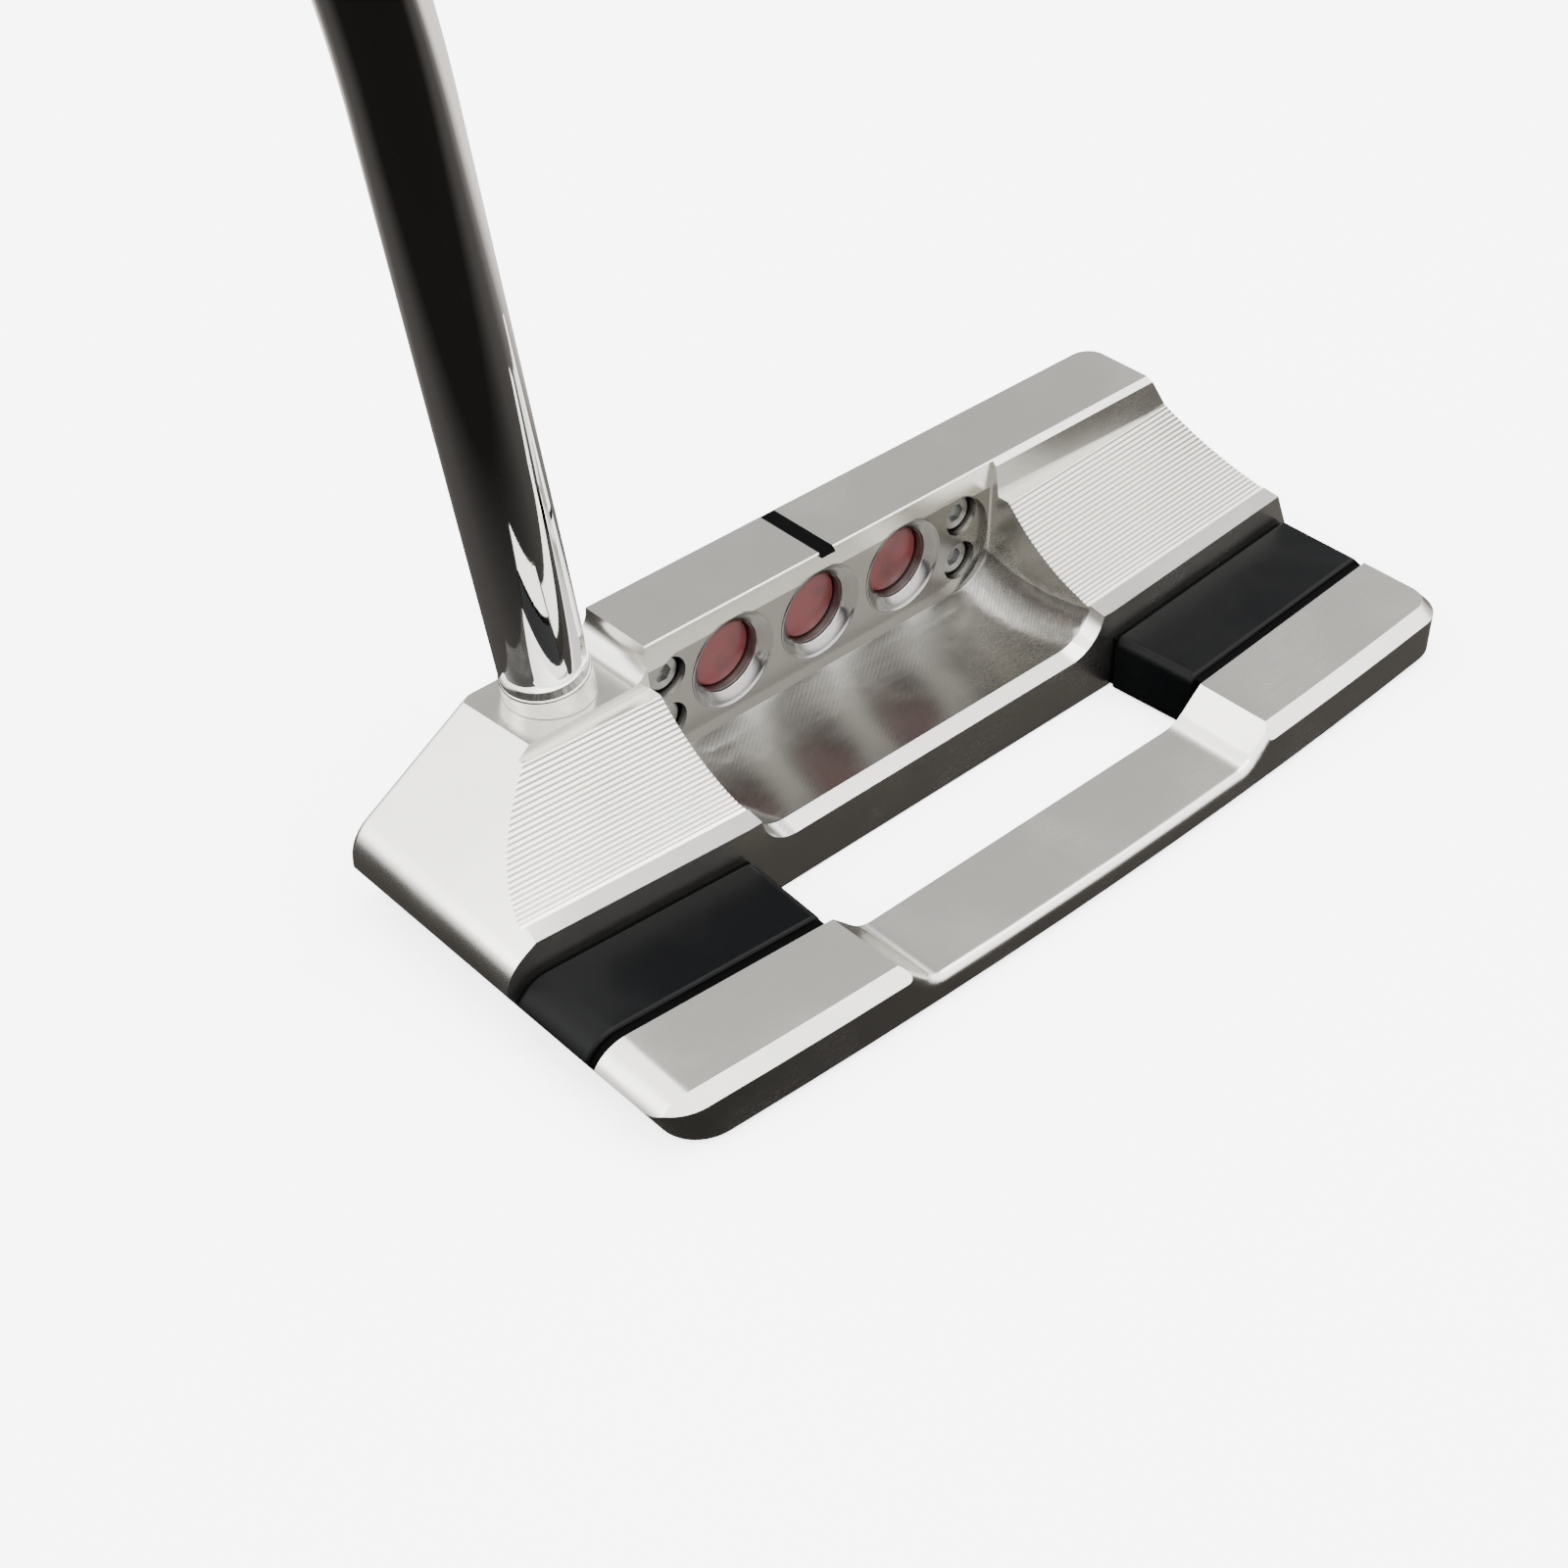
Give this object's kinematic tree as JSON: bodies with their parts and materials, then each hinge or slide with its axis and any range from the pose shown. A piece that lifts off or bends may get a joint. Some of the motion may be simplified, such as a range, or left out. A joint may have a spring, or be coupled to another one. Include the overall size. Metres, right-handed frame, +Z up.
{
  "type": "mallet putter",
  "caption": "Mid-mallet golf putter: milled steel head with black flange blocks, open rear window and bar, sunk red dots, bent chromed shaft and rubber grip.",
  "frame": {"origin": "on the flat of the sole, on the centre line of the rear cavity", "axes": "+X from heel to toe, +Y the way the face strikes, +Z up; the shaft leans towards -X"},
  "size_m": [0.3755, 0.057, 0.827],
  "materials": {
    "satin_steel": "satin, fine milling marks",
    "face_alloy": "fine milled, bead blasted",
    "elastomer": "matt black",
    "screw_steel": "dull zinc grey",
    "red_resin": "deep translucent red, glossy",
    "sight_paint": "satin black",
    "collar_steel": "turned satin",
    "epoxy": "cured amber grey",
    "shaft_chrome": "mirror polished",
    "tape": "crepe paper tape",
    "grip_rubber": "moulded, fine texture",
    "cap_plastic": "moulded",
    "black_anodised": "satin black anodised",
    "weight_steel": "turned"
  },
  "bodies": {
    "root": {"head_body": "satin_steel", "rear_bar": "satin_steel", "face_insert": "face_alloy", "face_damper": "elastomer", "insert_screws": "screw_steel", "red_dot_heel": "red_resin", "red_dot_centre": "red_resin", "red_dot_toe": "red_resin", "sight_line": "sight_paint", "shaft_collar": "collar_steel", "shaft_epoxy": "epoxy", "shaft": "shaft_chrome", "grip_tape": "tape", "grip": "grip_rubber", "grip_cap": "cap_plastic", "heel_block": "black_anodised", "heel_front_gasket": "elastomer", "heel_rear_gasket": "elastomer", "heel_front_screws": "screw_steel", "heel_rear_screws": "screw_steel", "heel_sole_weight": "weight_steel", "toe_block": "black_anodised", "toe_front_gasket": "elastomer", "toe_rear_gasket": "elastomer", "toe_front_screws": "screw_steel", "toe_rear_screws": "screw_steel", "toe_sole_weight": "weight_steel"}
  },
  "joints": []
}
